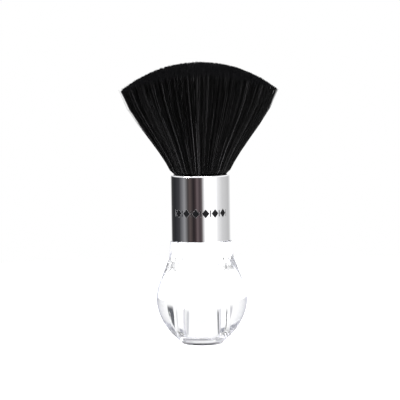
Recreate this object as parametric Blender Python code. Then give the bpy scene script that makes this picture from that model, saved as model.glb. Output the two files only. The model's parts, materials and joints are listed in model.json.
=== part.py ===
"""Neck duster brush, as used by barbers to brush cut hair off a customer's neck.

It stands upright on its base, with the middle of the base at the origin. Metres, +Z up.
The fan of bristles is widest along X and flatter along Y.

From the bottom up: a clear moulded handle with a deep blind bore, a chromed ferrule glued over
the handle's spigot, and inside the ferrule the bristle knot, cast in a plastic cup. The free
bristles stand in tufts: one in the middle, then a ring of inner tufts and a ring of outer tufts.
A ring tuft bends outward about the outer edge of its own root.
"""

from math import cos, hypot, pi, radians, sin, sqrt

import bmesh
import bpy
from mathutils import Vector

MM = 0.001
GAP = 0.3 * MM  # between pieces that touch
TURN_STEPS = 48  # sides of a turned piece that shows
HIDDEN_TURN_STEPS = 24  # sides of one inside the ferrule

# Handle
BALL_RADIUS = 24.2 * MM
BALL_LEVEL = 23.3 * MM  # height of the ball's widest circle
BASE_RADIUS = 10.8 * MM
BASE_EDGE = 0.6 * MM  # rounding where the flat base meets the ball
SHOULDER_LEVEL = 35.4 * MM  # where the ball runs into the sloping shoulder
SHOULDER_TOP = 47.6 * MM
SHOULDER_TOP_RADIUS = 16.6 * MM
NECK_RADIUS = 16.95 * MM
NECK_TOP_RADIUS = 16.3 * MM
NECK_LEVEL = 47.0 * MM  # where the neck starts to narrow
SPIGOT_RADIUS = 14.0 * MM
SPIGOT_HEIGHT = 12.0 * MM
BORE_RADIUS = 10.6 * MM
BORE_FLOOR_RADIUS = 9.8 * MM
BORE_FLOOR = 6.0 * MM

# Flat facets round the shoulder
FACETS = 8
FACET_TURN = radians(-59.5)  # direction of one facet, seen from above
FACET_LOW = 33.4 * MM
FACET_LOW_RADIUS = 22.2 * MM
FACET_HIGH = 46.6 * MM
FACET_HIGH_RADIUS = 15.9 * MM

# Ferrule
FERRULE_BOTTOM = 55.0 * MM
FERRULE_HEIGHT = 35.3 * MM
FERRULE_RADIUS = 15.7 * MM
FERRULE_WALL = 0.5 * MM
LIP_ROUND = 1.25 * MM  # its upper edge is turned inward with this radius

# Knot, inside the ferrule
CUP_HEIGHT = 12.0 * MM
CUP_WALL = 0.8 * MM
CUP_FLOOR = 1.2 * MM
RESIN_HEIGHT = 7.2 * MM
CORD_TURNS = 3
CORD_DIAMETER = 1.0 * MM

# Free bristles
MOUTH = FERRULE_BOTTOM + FERRULE_HEIGHT
ROOT_RADIUS = 13.9 * MM
LIP_SWELL = 1.2 * MM  # how much the bundle swells as soon as it has passed the lip
LIP_SHARE = 0.03  # of a bristle's length, in which it swells
HEAD_HALF_WIDTH = 41.4 * MM
HEAD_HALF_DEPTH = 28.0 * MM
HEAD_TOP = 149.5 * MM
DOME_RADIUS = 65.5 * MM  # the tips are cut to a ball whose middle is a little below the mouth
SECTORS = 8
CENTRE_SHARE = 0.36  # of the root's radius
INNER_SHARE = 0.70
RING_GAP = 0.8 * MM  # between two rings of tufts, at the root
SECTOR_GAP = 0.4 * MM  # between two tufts of one ring, at the root
TUFT_LEVELS = (0, LIP_SHARE, 0.16, 0.32, 0.48, 0.64, 0.82, 1)  # shares of the way to the tip


def clear_scene():
    for item in list(bpy.data.objects):
        bpy.data.objects.remove(item, do_unlink=True)


def material(name, colour, roughness, metallic=0.0, alpha=1.0):
    mat = bpy.data.materials.new(name)
    mat.use_nodes = True
    shader = mat.node_tree.nodes["Principled BSDF"]
    shader.inputs["Base Color"].default_value = (*colour, 1.0)
    shader.inputs["Roughness"].default_value = roughness
    shader.inputs["Metallic"].default_value = metallic
    shader.inputs["Alpha"].default_value = alpha
    mat.diffuse_color = (*colour, alpha)
    return mat


def add_object(name, bm, mat):
    """Makes an object of a finished bmesh, with its faces pointing out."""
    bmesh.ops.recalc_face_normals(bm, faces=bm.faces)
    mesh = bpy.data.meshes.new(name)
    bm.to_mesh(mesh)
    bm.free()
    mesh.shade_smooth()
    mesh.set_sharp_from_angle(angle=radians(35))
    obj = bpy.data.objects.new(name, mesh)
    bpy.context.collection.objects.link(obj)
    if mat:
        obj.data.materials.append(mat)
    return obj


def turned(outline, closed, steps=TURN_STEPS):
    """Turns an outline of (radius, height) points about Z.

    A closed outline makes a ring. An open one makes a solid, and its two ends get flat caps.
    """
    bm = bmesh.new()
    verts = [bm.verts.new((radius, 0, height)) for radius, height in outline]
    edges = [bm.edges.new(pair) for pair in zip(verts, verts[1:])]
    if closed:
        edges.append(bm.edges.new((verts[-1], verts[0])))
    bmesh.ops.spin(
        bm,
        geom=verts + edges,
        cent=(0, 0, 0),
        axis=(0, 0, 1),
        angle=2 * pi,
        steps=steps,
        use_merge=True,
    )
    bmesh.ops.remove_doubles(bm, verts=bm.verts, dist=0.01 * MM)
    if not closed:
        rims = [edge for edge in bm.edges if edge.is_boundary]
        bmesh.ops.holes_fill(bm, edges=rims, sides=0)
    return bm


def arc(centre, radius, start, end, steps):
    """Points of a round corner in an outline, angles counted from the radial direction."""
    points = []
    for i in range(steps + 1):
        angle = radians(start + (end - start) * i / steps)
        points.append((centre[0] + radius * cos(angle), centre[1] + radius * sin(angle)))
    return points


def ball_outline():
    """Base, ball and sloping shoulder, from the base's edge up to the neck."""
    lower_height = 26.2 * MM
    lower_power = 1.8  # a little leaner than an ellipse, which would be 2
    upper_height = 25.5 * MM
    points = [(BASE_RADIUS, 0)]
    first = BASE_RADIUS + BASE_EDGE
    steps = 11
    for i in range(steps + 1):
        # even steps of angle round the lower half, from the base's edge to the widest circle
        angle = (pi / 2) * i / steps
        radius = first + (BALL_RADIUS - first) * sin(angle)
        share = (1 - (radius / BALL_RADIUS) ** lower_power) ** (1 / lower_power)
        height = BALL_LEVEL - lower_height * share
        points.append((radius, height))
    steps = 6
    for i in range(1, steps + 1):
        height = (SHOULDER_LEVEL - BALL_LEVEL) * i / steps
        radius = BALL_RADIUS * sqrt(1 - (height / upper_height) ** 2)
        points.append((radius, BALL_LEVEL + height))
    points.append((SHOULDER_TOP_RADIUS, SHOULDER_TOP))
    return points


def cut_facets(bm):
    """Slices the shoulder with flat planes, which lean towards the neck."""
    rise = FACET_HIGH - FACET_LOW
    run = FACET_LOW_RADIUS - FACET_HIGH_RADIUS
    for i in range(FACETS):
        angle = FACET_TURN + 2 * pi * i / FACETS
        outward = Vector((cos(angle), sin(angle), 0))
        point = outward * FACET_LOW_RADIUS + Vector((0, 0, FACET_LOW))
        normal = (outward * rise + Vector((0, 0, run))).normalized()
        cut = bmesh.ops.bisect_plane(
            bm,
            geom=bm.verts[:] + bm.edges[:] + bm.faces[:],
            dist=0.001 * MM,
            plane_co=point,
            plane_no=normal,
            clear_outer=True,
        )
        rim = [part for part in cut["geom_cut"] if isinstance(part, bmesh.types.BMEdge)]
        bmesh.ops.edgeloop_fill(bm, edges=rim)


def cutter(name, bm):
    """A hidden helper object for a Boolean."""
    obj = add_object(name, bm, None)
    obj.hide_render = True
    obj.display_type = "WIRE"
    return obj


def boolean(obj, operation, other):
    step = obj.modifiers.new(other.name, "BOOLEAN")
    step.operation = operation
    step.solver = "EXACT"
    step.object = other


def make_handle(mat):
    neck_bottom = SHOULDER_LEVEL + 3 * MM  # hidden inside the ball
    neck_top = FERRULE_BOTTOM - GAP
    spigot_top = FERRULE_BOTTOM + SPIGOT_HEIGHT
    chamfer = 0.4 * MM
    neck = [
        (NECK_RADIUS, neck_bottom),
        (NECK_RADIUS, NECK_LEVEL),
        (NECK_TOP_RADIUS, neck_top - chamfer),
        (NECK_TOP_RADIUS - chamfer, neck_top),
        (SPIGOT_RADIUS, neck_top),
        (SPIGOT_RADIUS, spigot_top - chamfer),
        (SPIGOT_RADIUS - chamfer, spigot_top),
    ]
    edge = 1.5 * MM  # rounding at the bore's floor
    above = spigot_top + 2 * MM
    bore = [(BORE_RADIUS, above)]
    corner = (BORE_FLOOR_RADIUS - edge, BORE_FLOOR + edge)
    bore += arc(corner, edge, 0, -90, 4)
    ball = turned(ball_outline(), closed=False)
    cut_facets(ball)
    handle = add_object("handle", ball, mat)
    boolean(handle, "UNION", cutter("neck_shape", turned(neck, closed=False)))
    boolean(handle, "DIFFERENCE", cutter("bore_shape", turned(bore, closed=False)))


def make_ferrule(mat):
    """A drawn tube. Its upper edge is turned inward, so that it doesn't cut the bristles."""
    bottom = FERRULE_BOTTOM
    top = MOUTH - 0.2 * MM
    edge = 0.1 * MM
    half_wall = FERRULE_WALL / 2
    turn = (FERRULE_RADIUS - LIP_ROUND, top - LIP_ROUND)
    outline = [
        (FERRULE_RADIUS - FERRULE_WALL, bottom),
        (FERRULE_RADIUS - edge, bottom),
        (FERRULE_RADIUS, bottom + edge),
    ]
    outline += arc(turn, LIP_ROUND, 0, 90, 5)
    outline += arc((turn[0], top - half_wall), half_wall, 90, 270, 4)[1:]
    outline += arc(turn, LIP_ROUND - FERRULE_WALL, 90, 0, 3)[1:]
    add_object("ferrule", turned(outline, closed=True), mat)


def make_adhesive_ring(mat):
    inner = SPIGOT_RADIUS + GAP
    outer = FERRULE_RADIUS - FERRULE_WALL - GAP
    low = FERRULE_BOTTOM + 0.7 * MM
    high = FERRULE_BOTTOM + SPIGOT_HEIGHT - 1 * MM
    outline = [(inner, low), (outer, low), (outer, high), (inner, high)]
    add_object("adhesive_ring", turned(outline, True, HIDDEN_TURN_STEPS), mat)


def make_knot(cup_mat, resin_mat, cord_mat, bristle_mat):
    """Cup, resin, binding cord and the stretch of the bristles that they hold."""
    outer = FERRULE_RADIUS - FERRULE_WALL - GAP
    inner = outer - CUP_WALL
    packed = inner - GAP
    low = FERRULE_BOTTOM + SPIGOT_HEIGHT + GAP
    high = low + CUP_HEIGHT
    cup = [(outer, low), (outer, high), (inner, high), (inner, low + CUP_FLOOR)]
    add_object("knot_cup", turned(cup, False, HIDDEN_TURN_STEPS), cup_mat)

    resin_low = low + CUP_FLOOR + GAP
    resin_high = resin_low + RESIN_HEIGHT
    resin = [(packed, resin_low), (packed, resin_high)]
    add_object("resin_plug", turned(resin, False, HIDDEN_TURN_STEPS), resin_mat)

    cord_low = high + 1 * MM
    cord_high = cord_low + CORD_TURNS * CORD_DIAMETER
    half = CORD_DIAMETER / 2
    cord = []
    for i in range(CORD_TURNS):
        middle = (outer - half, cord_low + half + i * CORD_DIAMETER)
        cord += arc(middle, half, -60, 60, 2)
    cord += [(inner, cord_high - half), (inner, cord_low + half)]
    add_object("binding_cord", turned(cord, True, HIDDEN_TURN_STEPS), cord_mat)

    root = [
        (packed, resin_high + GAP),
        (packed, MOUTH - 2 * MM),
        (ROOT_RADIUS, MOUTH - GAP),
    ]
    add_object("bristle_root", turned(root, False, HIDDEN_TURN_STEPS), bristle_mat)


def along_bristle(u, v, share):
    """A point of the head, from its place (u, v) in a round root of radius 1, and its share
    of the way from the root to the tip.

    The outermost bristles swell out over the lip. All fan out almost straight, and turn a
    little upright towards their tips.
    """
    swell = LIP_SWELL * (u * u + v * v) * (1 - share) * min(1, share / LIP_SHARE)
    spread = 0.75 * share + share**2 - 0.75 * share**3
    half_width = ROOT_RADIUS + swell + (HEAD_HALF_WIDTH - ROOT_RADIUS) * spread
    half_depth = ROOT_RADIUS + swell + (HEAD_HALF_DEPTH - ROOT_RADIUS) * spread
    aside = hypot(HEAD_HALF_WIDTH * u, HEAD_HALF_DEPTH * v)
    length = HEAD_TOP - DOME_RADIUS + sqrt(DOME_RADIUS**2 - aside**2) - MOUTH
    return Vector((half_width * u, half_depth * v, MOUTH + length * share))


def block_mesh(grid):
    """A closed block from grid[i][j][k], a point for each step along its three sides."""
    bm = bmesh.new()
    last = (len(grid) - 1, len(grid[0]) - 1, len(grid[0][0]) - 1)
    verts = {}

    def vert(key):
        if key not in verts:
            i, j, k = key
            verts[key] = bm.verts.new(grid[i][j][k])
        return verts[key]

    for axis in range(3):
        one, two = [other for other in range(3) if other != axis]
        for side in (0, last[axis]):
            for a in range(last[one]):
                for b in range(last[two]):
                    corners = []
                    for da, db in ((0, 0), (1, 0), (1, 1), (0, 1)):
                        key = [0, 0, 0]
                        key[axis] = side
                        key[one] = a + da
                        key[two] = b + db
                        corners.append(vert(tuple(key)))
                    bm.faces.new(corners)
    return bm


def make_ring_tuft(name, low_share, high_share, direction, mat):
    """A tuft of a ring: a sector of the root between two shares of its radius.

    Its origin is on its joint's axis, at the outer edge of its root.
    """
    half_turn = pi / SECTORS
    steps_out, steps_round = 2, 4
    slit = 0.5 * SECTOR_GAP / ROOT_RADIUS
    pivot = Vector((cos(direction), sin(direction), 0)) * (high_share * ROOT_RADIUS)
    pivot.z = MOUTH
    grid = []
    for i in range(steps_out + 1):
        share_out = low_share + (high_share - low_share) * i / steps_out
        row = []
        for j in range(steps_round + 1):
            turn = 2 * j / steps_round - 1  # from -1 to 1 across the tuft
            angle = direction + half_turn * turn
            # the sides stay half a slit clear of the line between two sectors
            u = share_out * cos(angle) + turn * slit * sin(angle)
            v = share_out * sin(angle) - turn * slit * cos(angle)
            row.append([along_bristle(u, v, share) - pivot for share in TUFT_LEVELS])
        grid.append(row)
    tuft = add_object(name, block_mesh(grid), mat)
    tuft.location = pivot


def make_centre_tuft(radius_share, mat):
    """The tuft in the middle, which is fixed: rings of points with a domed top."""
    steps_round = 24
    bm = bmesh.new()
    rings = []
    for share in TUFT_LEVELS:
        ring = []
        for j in range(steps_round):
            angle = 2 * pi * j / steps_round
            u, v = radius_share * cos(angle), radius_share * sin(angle)
            ring.append(bm.verts.new(along_bristle(u, v, share)))
        rings.append(ring)
    for low, high in zip(rings, rings[1:]):
        for j in range(steps_round):
            after = (j + 1) % steps_round
            bm.faces.new((low[j], low[after], high[after], high[j]))
    bm.faces.new(reversed(rings[0]))
    crown = bm.verts.new(along_bristle(0, 0, 1))
    for j in range(steps_round):
        bm.faces.new((rings[-1][j], rings[-1][(j + 1) % steps_round], crown))
    add_object("tuft_centre", bm, mat)


def make_bristles(mat):
    half_gap = 0.5 * RING_GAP / ROOT_RADIUS
    make_centre_tuft(CENTRE_SHARE - half_gap, mat)
    rings = {
        "inner": (CENTRE_SHARE + half_gap, INNER_SHARE - half_gap),
        "outer": (INNER_SHARE + half_gap, 1.0),
    }
    for ring, (low_share, high_share) in rings.items():
        for i in range(SECTORS):
            direction = 2 * pi * i / SECTORS
            make_ring_tuft(f"tuft_{ring}_{i + 1}", low_share, high_share, direction, mat)


def main():
    clear_scene()
    acrylic = material("clear_acrylic", (0.95, 0.96, 0.98), 0.03, alpha=0.3)
    chrome = material("chrome", (0.85, 0.85, 0.87), 0.05, metallic=1.0)
    glue = material("clear_adhesive", (0.85, 0.85, 0.8), 0.3)
    cup = material("white_plastic", (0.85, 0.85, 0.85), 0.5)
    resin = material("amber_resin", (0.6, 0.45, 0.2), 0.2)
    cord = material("waxed_cord", (0.75, 0.7, 0.6), 0.8)
    bristle = material("black_nylon", (0.02, 0.02, 0.022), 0.4)
    make_handle(acrylic)
    make_ferrule(chrome)
    make_adhesive_ring(glue)
    make_knot(cup, resin, cord, bristle)
    make_bristles(bristle)


main()
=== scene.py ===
# %% [markdown]
# A barber's neck duster, built as a lesson. The brush has three things that show: a clear moulded
# handle, a chromed ferrule and a fan of black nylon bristles. The imported model gives the frame:
# the main sizes below are read from it, and each finished piece takes the place of its solid.

# %% Load the frame
import json
from math import cos, pi, radians, sin, sqrt

import bmesh
import bpy
from mathutils import Matrix, Vector


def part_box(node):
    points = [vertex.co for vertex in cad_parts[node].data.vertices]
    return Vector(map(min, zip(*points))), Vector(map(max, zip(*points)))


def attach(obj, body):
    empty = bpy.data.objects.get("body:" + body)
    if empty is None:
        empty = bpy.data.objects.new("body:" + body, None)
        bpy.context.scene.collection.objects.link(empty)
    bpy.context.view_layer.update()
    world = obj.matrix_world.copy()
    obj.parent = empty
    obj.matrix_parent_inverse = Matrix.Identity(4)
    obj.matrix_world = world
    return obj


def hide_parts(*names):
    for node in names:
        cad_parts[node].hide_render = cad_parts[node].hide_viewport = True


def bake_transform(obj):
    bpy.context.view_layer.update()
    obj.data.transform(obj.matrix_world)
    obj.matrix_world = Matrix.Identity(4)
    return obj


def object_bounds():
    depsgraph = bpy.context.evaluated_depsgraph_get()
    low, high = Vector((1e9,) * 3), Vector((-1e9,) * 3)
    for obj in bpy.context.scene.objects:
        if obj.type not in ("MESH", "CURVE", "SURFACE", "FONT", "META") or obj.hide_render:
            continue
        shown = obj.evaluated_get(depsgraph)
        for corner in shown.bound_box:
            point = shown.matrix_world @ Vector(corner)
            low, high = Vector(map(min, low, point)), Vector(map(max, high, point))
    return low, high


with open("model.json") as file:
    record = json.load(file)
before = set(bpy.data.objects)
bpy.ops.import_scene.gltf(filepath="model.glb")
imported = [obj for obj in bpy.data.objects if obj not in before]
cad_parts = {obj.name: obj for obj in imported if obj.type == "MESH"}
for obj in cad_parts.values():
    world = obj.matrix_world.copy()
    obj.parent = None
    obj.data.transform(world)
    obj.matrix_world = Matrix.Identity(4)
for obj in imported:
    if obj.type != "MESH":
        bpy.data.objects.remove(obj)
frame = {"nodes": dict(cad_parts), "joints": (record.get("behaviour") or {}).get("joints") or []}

MM = 0.001
cad_box = [list(corner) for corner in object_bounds()]
print("the model's box:", cad_box)

# %% [markdown]
# The sizes that later steps share come from the boxes of the model's own pieces. The mouth of the
# ferrule is where the bristles leave it, and the model hinges its tufts at that level.

# %% Sizes read from the frame
MOUTH = frame["joints"][0]["pos_m"][2]
ROOT_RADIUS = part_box("bristle_root")[1].x
HEAD_HALF_WIDTH = cad_box[1][0]
HEAD_HALF_DEPTH = cad_box[1][1]
HEAD_TOP = cad_box[1][2]
FERRULE_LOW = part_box("ferrule")[0].z
FERRULE_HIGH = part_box("ferrule")[1].z
FERRULE_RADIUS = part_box("ferrule")[1].x
BALL_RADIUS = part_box("handle")[1].x
SPIGOT_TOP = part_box("handle")[1].z
print("mouth at", MOUTH, "root radius", ROOT_RADIUS, "top at", HEAD_TOP)

# %% [markdown]
# Node trees read best as arithmetic. A Wire is one output of a node, and it adds the Math node for
# each operator. A Board is a node tree with one method that adds any other node: its settings are
# set first, because some of them decide which sockets there are.

# %% Node trees written as arithmetic
def find_socket(sockets, key):
    """A socket by its number, identifier or name."""
    if isinstance(key, int):
        return sockets[key]
    for socket in sockets:
        if socket.identifier == key:
            return socket
    return sockets[key]


class Wire:
    def __init__(self, board, socket):
        self.board = board
        self.socket = socket

    def other(self, key):
        """Another output of the same node."""
        return Wire(self.board, find_socket(self.socket.node.outputs, key))

    def maths(self, operation, *values):
        settings = {"operation": operation}
        return self.board.add("ShaderNodeMath", settings, dict(enumerate(values)))

    def __add__(self, other):
        return self.maths("ADD", self, other)

    def __radd__(self, other):
        return self.maths("ADD", other, self)

    def __sub__(self, other):
        return self.maths("SUBTRACT", self, other)

    def __rsub__(self, other):
        return self.maths("SUBTRACT", other, self)

    def __mul__(self, other):
        return self.maths("MULTIPLY", self, other)

    def __rmul__(self, other):
        return self.maths("MULTIPLY", other, self)

    def __truediv__(self, other):
        return self.maths("DIVIDE", self, other)

    def __rtruediv__(self, other):
        return self.maths("DIVIDE", other, self)

    def __pow__(self, other):
        return self.maths("POWER", self, other)

    def less_than(self, other):
        return self.maths("LESS_THAN", self, other)

    def absolute(self):
        return self.maths("ABSOLUTE", self)


class Board:
    def __init__(self, tree):
        self.tree = tree

    def plug(self, socket, value):
        if isinstance(value, Wire):
            self.tree.links.new(value.socket, socket)
        else:
            socket.default_value = value

    def add(self, kind, settings=None, inputs=None, output=0):
        node = self.tree.nodes.new(kind)
        for name, value in (settings or {}).items():
            if name == "stops":
                set_stops(node.color_ramp, value)
            else:
                setattr(node, name, value)
        for key, value in (inputs or {}).items():
            self.plug(find_socket(node.inputs, key), value)
        return Wire(self, find_socket(node.outputs, output))

    def mix(self, share, first, second):
        inputs = {"Factor_Float": share, "A_Color": first, "B_Color": second}
        return self.add("ShaderNodeMix", {"data_type": "RGBA"}, inputs, "Result_Color")

    def vector(self, operation, *values, output="Vector"):
        settings = {"operation": operation}
        return self.add("ShaderNodeVectorMath", settings, dict(enumerate(values)), output)

    def ramp(self, value, low, high, start=0.0, end=1.0):
        """A value's smooth rise from start to end between low and high."""
        inputs = {
            "Value": value,
            "From Min": low,
            "From Max": high,
            "To Min": start,
            "To Max": end,
        }
        settings = {"interpolation_type": "SMOOTHSTEP"}
        return self.add("ShaderNodeMapRange", settings, inputs, "Result")


def set_stops(ramp, stops):
    """Stops of a colour ramp, each a place from 0 to 1 and a colour."""
    while len(ramp.elements) > 1:
        ramp.elements.remove(ramp.elements[-1])
    ramp.elements[0].position = stops[0][0]
    ramp.elements[0].color = stops[0][1]
    for place, colour in stops[1:]:
        ramp.elements.new(place).color = colour


def grey(value, alpha=1.0):
    return (value, value, value, alpha)


def finish_of(name):
    """A new material, with its board, its Principled shader's node and its Object coordinates."""
    mat = bpy.data.materials.new(name)
    mat.use_nodes = True
    board = Board(mat.node_tree)
    shader = mat.node_tree.nodes["Principled BSDF"]
    place = board.add("ShaderNodeTexCoord", output="Object")
    return mat, board, shader, place


print("node helpers are ready")

# %% [markdown]
# Round pieces are turned: an outline of radius and height is spun about the brush's axis. A closed
# outline makes a ring, and an open one makes a solid whose two ends are closed with flat caps.
# Many narrow steps are used, because chrome and clear plastic show every facet in their reflections.

# %% Turning, arcs and finished objects
TURN_STEPS = 192


def arc(centre, radius, start, end, steps):
    """Points of a round corner in an outline, its angles counted from straight outward."""
    points = []
    for i in range(steps + 1):
        angle = radians(start + (end - start) * i / steps)
        points.append((centre[0] + radius * cos(angle), centre[1] + radius * sin(angle)))
    return points


def turned(outline, closed, steps=TURN_STEPS):
    bm = bmesh.new()
    verts = [bm.verts.new((radius, 0, height)) for radius, height in outline]
    edges = [bm.edges.new(pair) for pair in zip(verts, verts[1:])]
    if closed:
        edges.append(bm.edges.new((verts[-1], verts[0])))
    bmesh.ops.spin(
        bm,
        geom=verts + edges,
        cent=(0, 0, 0),
        axis=(0, 0, 1),
        angle=2 * pi,
        steps=steps,
        use_merge=True,
    )
    bmesh.ops.remove_doubles(bm, verts=bm.verts, dist=0.001 * MM)
    if not closed:
        rims = [edge for edge in bm.edges if edge.is_boundary]
        bmesh.ops.holes_fill(bm, edges=rims, sides=0)
    bmesh.ops.recalc_face_normals(bm, faces=bm.faces)
    return bm


def add_object(name, bm):
    mesh = bpy.data.meshes.new(name)
    bm.to_mesh(mesh)
    bm.free()
    obj = bpy.data.objects.new(name, mesh)
    bpy.context.scene.collection.objects.link(obj)
    return obj


def smooth(obj, sharp_angle):
    obj.data.shade_smooth()
    obj.data.set_sharp_from_angle(angle=radians(sharp_angle))


def plain_mesh(obj):
    """Replaces an object's mesh with what its modifiers make of it, and removes them."""
    view = bpy.context.evaluated_depsgraph_get()
    made = bpy.data.meshes.new_from_object(obj.evaluated_get(view))
    obj.modifiers.clear()
    obj.data = made


print("turning tools are ready")

# %% [markdown]
# The handle is one moulding of clear acrylic. Its ball sits on a small flat, and eight flat facets
# are cut round the shoulder, as on a cut-glass knob. The same shape could be one outline with the
# facets pressed in by hand, but slicing a turned ball with planes gives truly flat facets with
# crisp, curved edges, and those are what make clear plastic sparkle.

# %% The handle's ball and facets
BASE_RADIUS = 10.8 * MM
BASE_EDGE = 0.6 * MM
BASE_CHAMFER = (0.3 * MM, 0.15 * MM)
BALL_LEVEL = 23.3 * MM
LOWER_HEIGHT = 26.2 * MM
LOWER_POWER = 1.8
UPPER_HEIGHT = 25.5 * MM
LOWER_STEPS = 44
UPPER_STEPS = 20
SHOULDER_LEVEL = 35.4 * MM
SHOULDER_TOP = 47.6 * MM
SHOULDER_TOP_RADIUS = 16.6 * MM
FACETS = 8
FACET_TURN = radians(-59.5)
FACET_LOW = 33.4 * MM
FACET_LOW_RADIUS = 22.2 * MM
FACET_HIGH = 46.6 * MM
FACET_HIGH_RADIUS = 15.9 * MM


def ball_outline():
    """From the base's edge, up round the ball, to the top of the sloping shoulder."""
    points = [(BASE_RADIUS - BASE_CHAMFER[0], 0), (BASE_RADIUS, BASE_CHAMFER[1])]
    first = BASE_RADIUS + BASE_EDGE
    for i in range(LOWER_STEPS + 1):
        angle = (pi / 2) * i / LOWER_STEPS
        radius = first + (BALL_RADIUS - first) * sin(angle)
        share = (1 - (radius / BALL_RADIUS) ** LOWER_POWER) ** (1 / LOWER_POWER)
        points.append((radius, BALL_LEVEL - LOWER_HEIGHT * share))
    for i in range(1, UPPER_STEPS + 1):
        height = (SHOULDER_LEVEL - BALL_LEVEL) * i / UPPER_STEPS
        radius = BALL_RADIUS * sqrt(1 - (height / UPPER_HEIGHT) ** 2)
        points.append((radius, BALL_LEVEL + height))
    points.append((SHOULDER_TOP_RADIUS, SHOULDER_TOP))
    return points


def facet_planes():
    """A point and an outward normal for each facet."""
    rise = FACET_HIGH - FACET_LOW
    run = FACET_LOW_RADIUS - FACET_HIGH_RADIUS
    planes = []
    for i in range(FACETS):
        angle = FACET_TURN + 2 * pi * i / FACETS
        outward = Vector((cos(angle), sin(angle), 0))
        point = outward * FACET_LOW_RADIUS + Vector((0, 0, FACET_LOW))
        planes.append((point, (outward * rise + Vector((0, 0, run))).normalized()))
    return planes


def slice_facets(bm):
    for point, normal in facet_planes():
        cut = bmesh.ops.bisect_plane(
            bm,
            geom=bm.verts[:] + bm.edges[:] + bm.faces[:],
            dist=0.0001 * MM,
            plane_co=point,
            plane_no=normal,
            clear_outer=True,
        )
        rim = [part for part in cut["geom_cut"] if isinstance(part, bmesh.types.BMEdge)]
        bmesh.ops.edgeloop_fill(bm, edges=rim)
    bmesh.ops.recalc_face_normals(bm, faces=bm.faces)


ball = turned(ball_outline(), closed=False)
slice_facets(ball)
handle = add_object("clear_handle", ball)
print("ball with", FACETS, "facets:", len(handle.data.polygons), "faces")

# %% [markdown]
# The neck and the spigot that the ferrule slides over are a second turned shape, joined to the ball
# by a Boolean. A third one is taken away: the deep blind bore that a core pin leaves in a moulding
# as thick as this. Seen through the curved wall it looks half as wide again as it is.

# %% The handle's neck and bore
NECK_RADIUS = 16.95 * MM
NECK_TOP_RADIUS = 16.3 * MM
NECK_LEVEL = 47.0 * MM
SPIGOT_RADIUS = 14.0 * MM
BORE_RADIUS = 10.6 * MM
BORE_FLOOR_RADIUS = 9.8 * MM
BORE_FLOOR = 6.0 * MM
NECK_OVERLAP = 3 * MM
BORE_OVERRUN = 2 * MM
neck_top = FERRULE_LOW - 0.3 * MM
round_edge = 0.4 * MM
neck = [(NECK_RADIUS, SHOULDER_LEVEL + NECK_OVERLAP), (NECK_RADIUS, NECK_LEVEL)]
neck += arc((NECK_TOP_RADIUS - round_edge, neck_top - round_edge), round_edge, 0, 90, 5)
neck += [(SPIGOT_RADIUS, neck_top), (SPIGOT_RADIUS, SPIGOT_TOP - round_edge)]
neck += [(SPIGOT_RADIUS - round_edge, SPIGOT_TOP)]
floor_edge = 1.5 * MM
bore = [(BORE_RADIUS, SPIGOT_TOP + BORE_OVERRUN)]
bore += arc((BORE_FLOOR_RADIUS - floor_edge, BORE_FLOOR + floor_edge), floor_edge, 0, -90, 8)


def boolean(obj, operation, other):
    step = obj.modifiers.new(operation, "BOOLEAN")
    step.operation = operation
    step.solver = "EXACT"
    step.object = other


neck_shape = add_object("neck_shape", turned(neck, closed=False))
bore_shape = add_object("bore_shape", turned(bore, closed=False))
boolean(handle, "UNION", neck_shape)
boolean(handle, "DIFFERENCE", bore_shape)
plain_mesh(handle)
bpy.data.objects.remove(neck_shape)
bpy.data.objects.remove(bore_shape)
print("handle:", len(handle.data.polygons), "faces")

# %% [markdown]
# Smooth shading would blur the facets into the ball, since they meet it at a shallow angle. So the
# edges round each facet are marked sharp by asking which faces lie in a facet's plane.

# %% Crisp facet edges
def sharpen_facets(obj):
    bm = bmesh.new()
    bm.from_mesh(obj.data)
    bmesh.ops.remove_doubles(bm, verts=bm.verts, dist=0.001 * MM)
    owner = {}
    for face in bm.faces:
        for number, (point, normal) in enumerate(facet_planes()):
            middle = face.calc_center_median()
            flush = abs((middle - point).dot(normal)) < 0.002 * MM
            if flush and face.normal.dot(normal) > 0.9999:
                owner[face] = number
    for edge in bm.edges:
        sides = {owner.get(face) for face in edge.link_faces}
        bend = edge.calc_face_angle(0)
        edge.smooth = len(sides) == 1 and bend < radians(30)
    for face in bm.faces:
        face.smooth = True
    bm.to_mesh(obj.data)
    bm.free()
    return len(owner)


print("faces that lie in a facet:", sharpen_facets(handle))

# %% [markdown]
# Clear acrylic bends light like glass, only a little less: its index is 1.49. A moulding is never
# perfect, so a slow ripple in its skin and faint cloudy patches from handling break up the shine.
# Where the camera sees its skin at a grazing angle, its colour is darkened: painted shade that
# stands in for the dark room mirrored in its edges, and draws the outline of the ball and of its
# facets. The rim of the base is painted darker too: a painted shadow where it stands on the table.

# %% Acrylic
ACRYLIC_IOR = 1.49
# painted shade: the colour darkens to a deep lavender where the skin is seen edge-on
GRAZING_SHADE_FROM = 0.3
GRAZING_SHADE_TO = 1.0
GRAZING_SHADE_TINT = (0.08, 0.09, 0.19, 1)
# painted shadow: a dark grey band low on the rim of the base, where it stands on the table
CONTACT_SHADE_HEIGHT = 2.0 * MM
CONTACT_SHADE_WIDTH = 2.0 * MM
CONTACT_SHADE_TINT = (0.05, 0.05, 0.06, 1)


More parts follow.
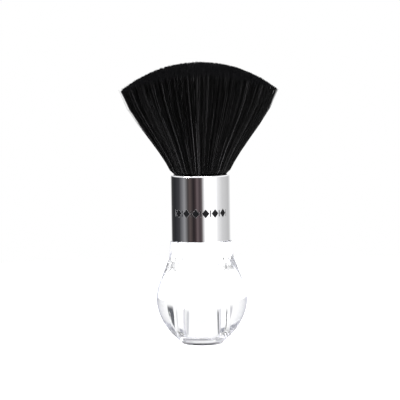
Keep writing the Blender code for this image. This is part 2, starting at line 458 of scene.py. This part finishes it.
def acrylic():
    mat, board, shader, place = finish_of("clear acrylic")
    shader.inputs["IOR"].default_value = ACRYLIC_IOR
    shader.inputs["Transmission Weight"].default_value = 1.0
    handling = board.add("ShaderNodeTexNoise", None, {"Vector": place, "Scale": 90.0, "Detail": 3.0})
    tint = board.mix(handling, (0.985, 0.99, 1.0, 1), (1.0, 1.0, 1.0, 1))
    # painted shade at grazing angles, in place of the dark room mirrored in the edges
    facing = board.add("ShaderNodeLayerWeight", None, {"Blend": 0.5}, "Facing")
    edge = board.ramp(facing, GRAZING_SHADE_FROM, GRAZING_SHADE_TO)
    tint = board.mix(edge, tint, GRAZING_SHADE_TINT)
    # painted shadow round the rim of the base, low down and near its edge
    x = board.add("ShaderNodeSeparateXYZ", None, {"Vector": place}, "X")
    outward = (x * x + x.other("Y") * x.other("Y")) ** 0.5
    contact_shade = board.ramp(x.other("Z"), 0.5 * CONTACT_SHADE_HEIGHT, CONTACT_SHADE_HEIGHT, 1.0, 0.0)
    contact_shade = contact_shade * board.ramp(outward, BASE_RADIUS - CONTACT_SHADE_WIDTH, BASE_RADIUS)
    board.plug(shader.inputs["Base Color"], board.mix(contact_shade, tint, CONTACT_SHADE_TINT))
    board.plug(shader.inputs["Roughness"], board.ramp(handling, 0.45, 0.85, 0.0, 0.03))
    ripple = board.add("ShaderNodeTexNoise", None, {"Vector": place, "Scale": 55.0, "Detail": 1.0})
    inputs = {"Height": ripple, "Strength": 0.1, "Distance": 0.1 * MM}
    board.plug(shader.inputs["Normal"], board.add("ShaderNodeBump", None, inputs))
    return mat


handle.data.materials.clear()
handle.data.materials.append(acrylic())
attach(handle, "brush")
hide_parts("handle")
print("handle finished")

# %% [markdown]
# The ferrule is a drawn tube of thin metal. Its upper edge is turned inward over a former, so that
# no raw edge cuts the bristles. That round edge faces the light overhead, and it is the bright line
# under the bristles.

# %% The ferrule
FERRULE_WALL = 0.5 * MM
LIP_ROUND = 1.25 * MM
cut_edge = 0.1 * MM
lip = (FERRULE_RADIUS - LIP_ROUND, FERRULE_HIGH - LIP_ROUND)
tube = [(FERRULE_RADIUS - FERRULE_WALL, FERRULE_LOW), (FERRULE_RADIUS - cut_edge, FERRULE_LOW)]
tube += [(FERRULE_RADIUS, FERRULE_LOW + cut_edge)]
tube += arc(lip, LIP_ROUND, 0, 90, 16)
tube += arc((lip[0], FERRULE_HIGH - FERRULE_WALL / 2), FERRULE_WALL / 2, 90, 270, 10)[1:]
tube += arc(lip, LIP_ROUND - FERRULE_WALL, 90, 0, 10)[1:]
ferrule = add_object("polished_ferrule", turned(tube, closed=True))
smooth(ferrule, 35)
print("ferrule:", len(ferrule.data.polygons), "faces")

# %% [markdown]
# Chrome is a mirror, so its look is what it reflects. Its own part is small: fine polishing lines
# round the tube and a few faint smears that soften the reflection. A plain row of lozenges is
# printed in black round its front, as a maker's decoration would be.

# %% Chrome with a printed band
PRINT_LEVEL = FERRULE_LOW + 0.43 * (FERRULE_HIGH - FERRULE_LOW)
PRINT_HALF_ANGLE = radians(57)
PRINT_HALF_HEIGHT = 2.4 * MM
LOZENGES = 6


def chrome():
    mat, board, shader, place = finish_of("polished chrome")
    x = board.add("ShaderNodeSeparateXYZ", None, {"Vector": place}, "X")
    y, z = x.other("Y"), x.other("Z")
    angle = x.maths("ARCTAN2", x, 0 - y)
    cells = (angle + PRINT_HALF_ANGLE) * (LOZENGES / (2 * PRINT_HALF_ANGLE))
    across = (cells.maths("FRACT", cells) - 0.5).absolute()
    up = ((z - PRINT_LEVEL) / PRINT_HALF_HEIGHT).absolute()
    lozenge = board.ramp(across * 2.5 + up, 0.94, 1.02, 1.0, 0.0)
    bar = board.ramp(across, 0.44, 0.45) * board.ramp(up, 0.7, 0.74, 1.0, 0.0)
    printed_round = board.ramp(angle.absolute(), PRINT_HALF_ANGLE, PRINT_HALF_ANGLE * 1.02, 1.0, 0.0)
    ink = lozenge.maths("MAXIMUM", lozenge, bar) * printed_round
    smear = board.add("ShaderNodeTexNoise", None, {"Vector": place, "Scale": 140.0, "Detail": 4.0})
    lines_at = board.vector("MULTIPLY", place, (6.0, 6.0, 900.0))
    lines = board.add("ShaderNodeTexNoise", None, {"Vector": lines_at, "Scale": 3.0, "Detail": 2.0})
    steel = board.mix(smear, (0.88, 0.88, 0.90, 1), (0.95, 0.95, 0.96, 1))
    board.plug(shader.inputs["Base Color"], board.mix(ink, steel, (0.004, 0.004, 0.005, 1)))
    board.plug(shader.inputs["Metallic"], 1 - ink)
    shader.inputs["Specular IOR Level"].default_value = 0.12
    polish = board.ramp(smear, 0.5, 0.8, 0.03, 0.08) + lines * 0.03
    board.plug(shader.inputs["Roughness"], polish + ink * 0.35)
    inputs = {"Height": lines * 0.3 + ink, "Strength": 0.1, "Distance": 0.02 * MM}
    board.plug(shader.inputs["Normal"], board.add("ShaderNodeBump", None, inputs))
    return mat


ferrule.data.materials.append(chrome())
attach(ferrule, "brush")
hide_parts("ferrule")
print("ferrule finished, with", LOZENGES, "lozenges")

# %% [markdown]
# Bristles are what repeats here, so Geometry Nodes make them. Each tuft starts as a flat patch of
# the root. Points are scattered on the patch, each point grows one filament as a curve of a few
# points, and the curve becomes a thin three-sided tube. A hair system could do this too, but it
# gives hairs and not closed meshes, and here each filament has to be a real solid.
#
# The path is arithmetic. The outermost filaments swell out over the lip. All of them fan out almost
# straight and turn a little upright towards their tips, which are cut to a dome. Filaments cling
# together in locks, so each one leans towards the middle of its lock on the way up, and that leaves
# dark lines between the locks.

# %% The bristle tree
BRISTLE_INPUTS = {
    "Patch": "NodeSocketGeometry",
    "Filaments Per Area": "NodeSocketFloat",
    "Seed": "NodeSocketInt",
    "Thickness": "NodeSocketFloat",
    "Root Radius": "NodeSocketFloat",
    "Half Width": "NodeSocketFloat",
    "Half Depth": "NodeSocketFloat",
    "Mouth Height": "NodeSocketFloat",
    "Head Top": "NodeSocketFloat",
    "Dome Radius": "NodeSocketFloat",
    "Lip Swell": "NodeSocketFloat",
    "Lip Share": "NodeSocketFloat",
    "Lock Size": "NodeSocketFloat",
    "Lock Pull": "NodeSocketFloat",
    "Wander": "NodeSocketFloat",
    "Trim Scatter": "NodeSocketFloat",
    "Stray Share": "NodeSocketFloat",
    "Stray Reach": "NodeSocketFloat",
    "Finish": "NodeSocketMaterial",
}
FILAMENT_POINTS = 8


def new_tree(name, sockets):
    tree = bpy.data.node_groups.new(name, "GeometryNodeTree")
    for socket, kind in sockets.items():
        tree.interface.new_socket(socket, in_out="INPUT", socket_type=kind)
    tree.interface.new_socket("Mesh", in_out="OUTPUT", socket_type="NodeSocketGeometry")
    board = Board(tree)
    return board, board.add("NodeGroupInput")


def stored(board, geometry, name, value, kind="FLOAT"):
    inputs = {"Geometry": geometry, "Name": name, "Value": value}
    settings = {"data_type": kind, "domain": "POINT"}
    return board.add("GeometryNodeStoreNamedAttribute", settings, inputs)


def recalled(board, name, kind="FLOAT"):
    return board.add("GeometryNodeInputNamedAttribute", {"data_type": kind}, {"Name": name})


def scattered_roots(board, given):
    """Points on the patch. Each remembers its place in the root and draws two lots."""
    inputs = {
        "Mesh": given.other("Patch"),
        "Density": given.other("Filaments Per Area"),
        "Seed": given.other("Seed"),
    }
    points = board.add("GeometryNodeDistributePointsOnFaces", None, inputs)
    points = stored(board, points, "root_at", board.add("GeometryNodeInputPosition"), "FLOAT_VECTOR")
    for number, name in enumerate(("lot", "second_lot")):
        seed = given.other("Seed") * 2 + number
        draw = board.add("FunctionNodeRandomValue", None, {"Seed": seed}, "Value_001")
        points = stored(board, points, name, draw)
    return points


def filament_path(board, given, along):
    """Where a filament's point goes, from its root's place and its share of the way up."""
    lot, second_lot = recalled(board, "lot"), recalled(board, "second_lot")
    root_at = recalled(board, "root_at", "FLOAT_VECTOR")
    inputs = {"Vector": root_at, "Scale": 1 / given.other("Lock Size")}
    lock = board.add("ShaderNodeTexVoronoi", {"voronoi_dimensions": "2D"}, inputs, "Position")
    pull = given.other("Lock Pull") * along * along
    inputs = {"Factor_Float": pull, "A_Vector": root_at, "B_Vector": lock}
    leaned = board.add("ShaderNodeMix", {"data_type": "VECTOR"}, inputs, "Result_Vector")
    x = board.add("ShaderNodeSeparateXYZ", None, {"Vector": leaned}, "X")
    u = x / given.other("Root Radius")
    v = x.other("Y") / given.other("Root Radius")

    stray = lot.less_than(given.other("Stray Share"))
    bow = 1 + stray * given.other("Stray Reach") * second_lot * along * (1.6 - along)
    spread = along * 0.75 + along**2.0 - along**3.0 * 0.75
    past_lip = along.maths("MINIMUM", along / given.other("Lip Share"), 1.0)
    swell = given.other("Lip Swell") * (u * u + v * v) * (1 - along) * past_lip
    root = given.other("Root Radius") + swell
    half_width = root + (given.other("Half Width") - given.other("Root Radius")) * spread
    half_depth = root + (given.other("Half Depth") - given.other("Root Radius")) * spread
    aside = (given.other("Half Width") * u) ** 2.0 + (given.other("Half Depth") * v) ** 2.0
    dome = given.other("Dome Radius")
    tip = given.other("Head Top") - dome + u.maths("SQRT", dome**2.0 - aside)
    length = (tip - given.other("Mouth Height")) * (1 - second_lot * given.other("Trim Scatter"))
    inputs = {0: half_width * u * bow, 1: half_depth * v * bow}
    inputs[2] = given.other("Mouth Height") + length * along
    smooth_path = board.add("ShaderNodeCombineXYZ", None, inputs)

    # a slow drift that neighbours share, and a small one of the filament's own
    shared_at = board.vector("MULTIPLY", root_at, (600.0, 600.0, 0.0))
    rise = board.add("ShaderNodeCombineXYZ", None, {2: along * 1.5 + lot * 0.8})
    drift_at = board.vector("ADD", shared_at, rise)
    inputs = {"Vector": drift_at, "Scale": 1.0, "Detail": 1.0}
    drift = board.add("ShaderNodeTexNoise", None, inputs, "Color")
    drift = board.vector("SUBTRACT", drift, (0.5, 0.5, 0.5))
    drift = board.add(
        "ShaderNodeVectorMath",
        {"operation": "SCALE"},
        {0: drift, "Scale": given.other("Wander") * along},
        "Vector",
    )
    return board.vector("ADD", smooth_path, drift)


def bristle_tree():
    board, given = new_tree("bristles", BRISTLE_INPUTS)
    points = scattered_roots(board, given)
    line = board.add("GeometryNodeCurvePrimitiveLine", None, {"Start": (0, 0, 0), "End": (0, 0, 1)})
    inputs = {"Curve": line, "Count": FILAMENT_POINTS}
    line = board.add("GeometryNodeResampleCurve", None, inputs)
    inputs = {"Points": points, "Instance": line}
    curves = board.add("GeometryNodeInstanceOnPoints", None, inputs)
    curves = board.add("GeometryNodeRealizeInstances", None, {"Geometry": curves})
    # the points stand closer together near the lip, where the filaments bend most
    along = board.add("GeometryNodeSplineParameter") ** 1.6
    curves = stored(board, curves, "along", along)
    along = recalled(board, "along")
    inputs = {"Geometry": curves, "Position": filament_path(board, given, along)}
    curves = board.add("GeometryNodeSetPosition", None, inputs)
    inputs = {"Resolution": 3, "Radius": given.other("Thickness") * 0.5}
    section = board.add("GeometryNodeCurvePrimitiveCircle", None, inputs)
    taper = 1 - along * along * 0.4
    inputs = {"Curve": curves, "Profile Curve": section, "Scale": taper, "Fill Caps": True}
    tubes = board.add("GeometryNodeCurveToMesh", None, inputs)
    tubes = board.add("GeometryNodeRealizeInstances", None, {"Geometry": tubes})
    inputs = {"Geometry": tubes, "Material": given.other("Finish")}
    tubes = board.add("GeometryNodeSetMaterial", None, inputs)
    board.plug(board.tree.nodes.new("NodeGroupOutput").inputs[0], tubes)
    return board.tree


BRISTLES = bristle_tree()
print("bristle tree:", len(BRISTLES.nodes), "nodes")

# %% [markdown]
# Black nylon isn't one black. Each filament has its own shade, a few of them much paler than the
# rest, the shine slides along it, and the trimmed tips are dull, so the cut face of the fan is an
# even black. The tree stored how far along its filament each point is, and a lot for each filament,
# and the finish reads both.

# %% Black nylon
def nylon():
    mat, board, shader, place = finish_of("black nylon")
    along = board.add("ShaderNodeAttribute", {"attribute_name": "along"}, None, "Fac")
    lot = board.add("ShaderNodeAttribute", {"attribute_name": "lot"}, None, "Fac")
    shade = board.mix(lot**14.0, (0.001, 0.001, 0.0012, 1), (0.09, 0.088, 0.092, 1))
    tips = board.ramp(along, 0.95, 1.0)
    shade = board.mix(tips, shade, (0.002, 0.002, 0.003, 1))
    board.plug(shader.inputs["Base Color"], shade)
    shader.inputs["Specular IOR Level"].default_value = 0.12
    grain_at = board.vector("MULTIPLY", place, (1.0, 1.0, 0.15))
    grain = board.add("ShaderNodeTexNoise", None, {"Vector": grain_at, "Scale": 900.0, "Detail": 2.0})
    board.plug(shader.inputs["Roughness"], 0.28 + grain * 0.2 + tips * 0.4)
    return mat


NYLON = nylon()
print("nylon is ready")

# %% [markdown]
# The head is cut into the same tufts as the model: one in the middle, which stays still, and two
# rings, which splay in the model. Each tuft's patch is a sector of the root.

# %% Tufts of bristles
FILAMENTS = 24000
SECTORS = 8
CENTRE_SHARE = 0.36
INNER_SHARE = 0.70
BRISTLE_SIZES = {
    "Filaments Per Area": FILAMENTS / (pi * ROOT_RADIUS**2),
    "Thickness": 0.16 * MM,
    "Root Radius": ROOT_RADIUS,
    "Half Width": HEAD_HALF_WIDTH,
    "Half Depth": HEAD_HALF_DEPTH,
    "Mouth Height": MOUTH,
    "Head Top": HEAD_TOP,
    "Dome Radius": 65.5 * MM,
    "Lip Swell": 1.2 * MM,
    "Lip Share": 0.03,
    "Lock Size": 0.7 * MM,
    "Lock Pull": 0.3,
    "Wander": 1.5 * MM,
    "Trim Scatter": 0.012,
    "Stray Share": 0.015,
    "Stray Reach": 0.1,
    "Finish": NYLON,
}


def set_inputs(modifier, values):
    """Sets a Geometry Nodes modifier's inputs by their sockets' identifiers."""
    for item in modifier.node_group.interface.items_tree:
        if item.in_out == "INPUT" and item.name in values:
            modifier[item.identifier] = values[item.name]


def sector_patch(low_share, high_share, direction, half_turn):
    """A flat patch of the root between two shares of its radius, or a whole disc."""
    steps = max(3, round(half_turn / radians(4)))
    bm = bmesh.new()
    rims = []
    for share in (low_share, high_share):
        rim = []
        for i in range(steps + 1):
            angle = direction + half_turn * (2 * i / steps - 1)
            radius = share * ROOT_RADIUS
            rim.append(bm.verts.new((radius * cos(angle), radius * sin(angle), 0)))
        rims.append(rim)
    for i in range(steps):
        bm.faces.new((rims[0][i], rims[1][i], rims[1][i + 1], rims[0][i + 1]))
    bmesh.ops.remove_doubles(bm, verts=bm.verts, dist=0.0001 * MM)
    return bm


def grow_tuft(name, patch, seed):
    tuft = add_object(name, patch)
    modifier = tuft.modifiers.new("bristles", "NODES")
    modifier.node_group = BRISTLES
    set_inputs(modifier, {**BRISTLE_SIZES, "Seed": seed})
    plain_mesh(tuft)
    tuft.data.shade_smooth()
    return tuft


tufts = [grow_tuft("bristles_centre", sector_patch(0, CENTRE_SHARE, 0, pi), 1)]
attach(tufts[0], "brush")
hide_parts("tuft_centre")
rings = {"inner": (CENTRE_SHARE, INNER_SHARE), "outer": (INNER_SHARE, 1.0)}
for ring, (low, high) in rings.items():
    for i in range(SECTORS):
        body = f"{ring}_{i + 1}"
        patch = sector_patch(low, high, 2 * pi * i / SECTORS, pi / SECTORS)
        tuft = grow_tuft(f"bristles_{body}", patch, 2 + len(tufts))
        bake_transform(tuft)
        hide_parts(f"tuft_{body}")
        tufts.append(tuft)
print(len(tufts), "tufts,", sum(len(t.data.polygons) for t in tufts), "faces")

# %% [markdown]
# Inside the ferrule are the pieces that hold it all together. They show only as glints through the
# clear neck, but each still has its own finish: cloudy glue, moulded white plastic, amber resin,
# waxed cord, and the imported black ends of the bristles.

# %% Finishes of the hidden pieces
def speckled(name, first, second, scale, roughness, bump):
    mat, board, shader, place = finish_of(name)
    inputs = {"Vector": place, "Scale": scale, "Detail": 4.0}
    speckle = board.add("ShaderNodeTexNoise", None, inputs)
    board.plug(shader.inputs["Base Color"], board.mix(speckle, first, second))
    board.plug(shader.inputs["Roughness"], roughness + speckle * 0.15)
    inputs = {"Height": speckle, "Strength": bump, "Distance": 0.1 * MM}
    board.plug(shader.inputs["Normal"], board.add("ShaderNodeBump", None, inputs))
    return mat


# for each piece: its finish's name, two colours, the speckles' scale, roughness and bump
HIDDEN = {
    "adhesive_ring": ("cloudy glue", (0.75, 0.75, 0.7, 1), (0.9, 0.9, 0.86, 1), 300.0, 0.2, 0.3),
    "knot_cup": ("moulded white", (0.74, 0.74, 0.73, 1), (0.84, 0.84, 0.83, 1), 500.0, 0.4, 0.1),
    "resin_plug": ("amber resin", (0.45, 0.3, 0.1, 1), (0.65, 0.48, 0.2, 1), 200.0, 0.1, 0.1),
    "binding_cord": ("waxed cord", (0.5, 0.45, 0.35, 1), (0.8, 0.75, 0.64, 1), 1500.0, 0.6, 0.8),
    "bristle_root": ("packed nylon", (0.006, 0.006, 0.007, 1), (0.03, 0.03, 0.033, 1), 4000.0, 0.4, 1.0),
}
for node, finish in HIDDEN.items():
    frame["nodes"][node].data.materials.clear()
    frame["nodes"][node].data.materials.append(speckled(*finish))
print("finishes for", ", ".join(HIDDEN))

# %% [markdown]
# A mirror and a clear ball show the studio more than they show themselves, so the studio is drawn
# with care, as a world of directions. The mirror sees a low ring round the horizon: white behind,
# a tall softbox to the right of the camera, and a dark room on the left with a pale wall in it.
# Everything above fades to white. Clear plastic is shot against the light instead: through it, all
# is white but a few flags, which draw its edges. The camera itself sees plain white.

# %% The studio
STUDIO_RING = [
    # degrees round from the camera, to the right, and the light that comes from there
    (-180, grey(1.1)),
    (-158, grey(0.55)),
    (-148, grey(0.05)),
    (-121, (0.024, 0.025, 0.028, 1)),
    (-92, (0.05, 0.05, 0.055, 1)),
    (-76, (0.19, 0.19, 0.20, 1)),
    (-66, (0.30, 0.30, 0.31, 1)),
    (-51, (0.06, 0.053, 0.053, 1)),
    (-42, (0.10, 0.078, 0.075, 1)),
    (-28, (0.022, 0.018, 0.02, 1)),
    (-20, (0.05, 0.036, 0.038, 1)),
    (-13, (0.15, 0.115, 0.12, 1)),
    (-3, (0.065, 0.05, 0.055, 1)),
    (4, (0.12, 0.10, 0.10, 1)),
    (16, grey(1.1)),
    (22, grey(1.5)),
    (55, grey(1.4)),
    (70, grey(0.9)),
    (92, grey(0.67)),
    (134, grey(0.54)),
    (180, grey(1.1)),
]
RING_FADE = 30.0
SKY = grey(1.15)
BACKLIGHT = grey(1.05)
FLAGS = [
    # where each flag stands in degrees round and up, half its width and height, and its colour
    ((147, 18), (5, 17), (0.05, 0.055, 0.07, 1)),
    ((-154, 17), (5, 16), (0.58, 0.59, 0.62, 1)),
    ((122, 33), (16, 9), (0.25, 0.26, 0.32, 1)),
    ((-128, 35), (16, 9), (0.35, 0.36, 0.42, 1)),
]


def round_from_camera(board, toward):
    """How many degrees round from the camera, to its right, a direction or a place is."""
    x = board.add("ShaderNodeSeparateXYZ", None, {"Vector": toward}, "X")
    return x.maths("ARCTAN2", x, 0 - x.other("Y")) * (180 / pi)


def ring_light(board, degrees):
    stops = [(0.5 + stop / 360, colour) for stop, colour in STUDIO_RING]
    return board.add("ShaderNodeValToRGB", {"stops": stops}, {"Fac": degrees / 360 + 0.5})


def studio():
    world = bpy.data.worlds.new("studio")
    world.use_nodes = True
    bpy.context.scene.world = world
    board = Board(world.node_tree)
    background = world.node_tree.nodes["Background"]
    toward = board.add("ShaderNodeTexCoord", output="Generated")
    degrees = round_from_camera(board, toward)
    z = board.add("ShaderNodeSeparateXYZ", None, {"Vector": toward}, "Z")
    up = z.maths("ARCSINE", z) * (180 / pi)
    mirrored = board.mix(board.ramp(up, 0.0, RING_FADE), ring_light(board, degrees), SKY)

    through = BACKLIGHT
    for centre, half_size, colour in FLAGS:
        aside = (degrees - centre[0]).absolute() / half_size[0]
        above = (up - centre[1]).absolute() / half_size[1]
        flag = board.ramp(aside, 0.75, 1.1, 1.0, 0.0) * board.ramp(above, 0.75, 1.1, 1.0, 0.0)
        through = board.mix(flag, through, colour)

    path = board.add("ShaderNodeLightPath", output="Is Camera Ray")
    light = board.mix(path.other("Is Transmission Ray"), mirrored, through)
    board.plug(background.inputs["Color"], board.mix(path, light, grey(1.0)))


studio()


def softbox(name, size, place, aim, watts):
    lamp = bpy.data.lights.new(name, "AREA")
    lamp.size = size
    lamp.energy = watts
    obj = bpy.data.objects.new(name, lamp)
    obj.location = place
    obj.rotation_euler = (Vector(aim) - Vector(place)).to_track_quat("-Z", "Y").to_euler()
    bpy.context.scene.collection.objects.link(obj)


softbox("overhead", 0.7, (0, 0, 1.0), (0, 0, 0), 6)
softbox("key", 0.35, (0.55, -0.75, 0.45), (0, 0, 0.1), 2)
softbox("left_rim", 0.25, (-0.6, -0.35, 0.5), (0, 0, 0.12), 7)
print("studio lit")

# %% [markdown]
# The brush stands on a round light table, which glows a little, so that no shadow lies under it.
# Chrome that mirrored a white table would vanish in front of it, so whatever is mirrored sees the
# ring of light and dark go on across the table, paler towards the brush. A mix of two shaders,
# chosen by the kind of ray that arrives, does that.

# %% The floor
FLOOR_RADIUS = 0.45
FLOOR_DROP = 0.02 * MM
GLOW = 0.8
WASH = 0.7


def floor():
    bm = bmesh.new()
    bmesh.ops.create_circle(bm, cap_ends=True, segments=96, radius=FLOOR_RADIUS)
    table = add_object("floor", bm)
    mat, board, shader, place = finish_of("white table")
    grain = board.add("ShaderNodeTexNoise", None, {"Vector": place, "Scale": 40.0, "Detail": 3.0})
    board.plug(shader.inputs["Base Color"], board.mix(grain, grey(0.90), grey(0.93)))
    board.plug(shader.inputs["Roughness"], 0.7 + grain * 0.2)
    board.plug(shader.inputs["Emission Color"], board.mix(grain, grey(0.97), grey(1.0)))
    shader.inputs["Emission Strength"].default_value = GLOW
    ring = ring_light(board, round_from_camera(board, place))
    outward = board.vector("LENGTH", place, output="Value")
    ring = board.mix(board.ramp(outward, 0.0, FLOOR_RADIUS, WASH, 0.0), ring, grey(1.0))
    glow = board.add("ShaderNodeEmission", None, {"Color": ring}, "Emission")
    path = board.add("ShaderNodeLightPath", output="Is Glossy Ray")
    in_mirror = path * (1 - path.other("Is Transmission Ray"))
    surfaces = {0: in_mirror, 1: Wire(board, shader.outputs[0]), 2: glow}
    seen = board.add("ShaderNodeMixShader", None, surfaces, "Shader")
    board.plug(mat.node_tree.nodes["Material Output"].inputs["Surface"], seen)
    table.data.materials.append(mat)
    table.location.z = -FLOOR_DROP


floor()
print("floor laid")

# %% [markdown]
# The camera stands a metre away, a little above the brush, with a long lens so that the sides of
# the ferrule stay parallel. It is rolled by less than a degree, as a camera held by hand would be.

# %% The camera
DISTANCE = 1.0
LENS = 170.0
CAMERA_HEIGHT = 0.147
AIM = Vector((-0.0003, 0, 0.0763))
ROLL = radians(0.8)


def camera():
    lens = bpy.data.cameras.new("camera")
    lens.lens = LENS
    lens.sensor_width = 36.0
    obj = bpy.data.objects.new("camera", lens)
    place = Vector((AIM.x, -DISTANCE, CAMERA_HEIGHT))
    turn = (AIM - place).to_track_quat("-Z", "Y").to_matrix() @ Matrix.Rotation(-ROLL, 3, "Z")
    obj.matrix_world = Matrix.Translation(place) @ turn.to_4x4()
    bpy.context.scene.collection.objects.link(obj)
    bpy.context.scene.camera = obj


camera()
bpy.context.scene.view_settings.view_transform = "Standard"
print("camera set")

# %% [markdown]
# Light that enters the clear handle is thrown round inside it many times before it finds a way out.
# Blender gives up on a path after a few turns and calls it black, which would leave black specks in
# the facets. Letting the paths go on for longer costs little time and clears the specks.

# %% Longer light paths
LIGHT_TURNS = 20
light_paths = bpy.context.scene.cycles
light_paths.max_bounces = LIGHT_TURNS
light_paths.glossy_bounces = LIGHT_TURNS
light_paths.transmission_bounces = LIGHT_TURNS
print("light may turn", LIGHT_TURNS, "times")
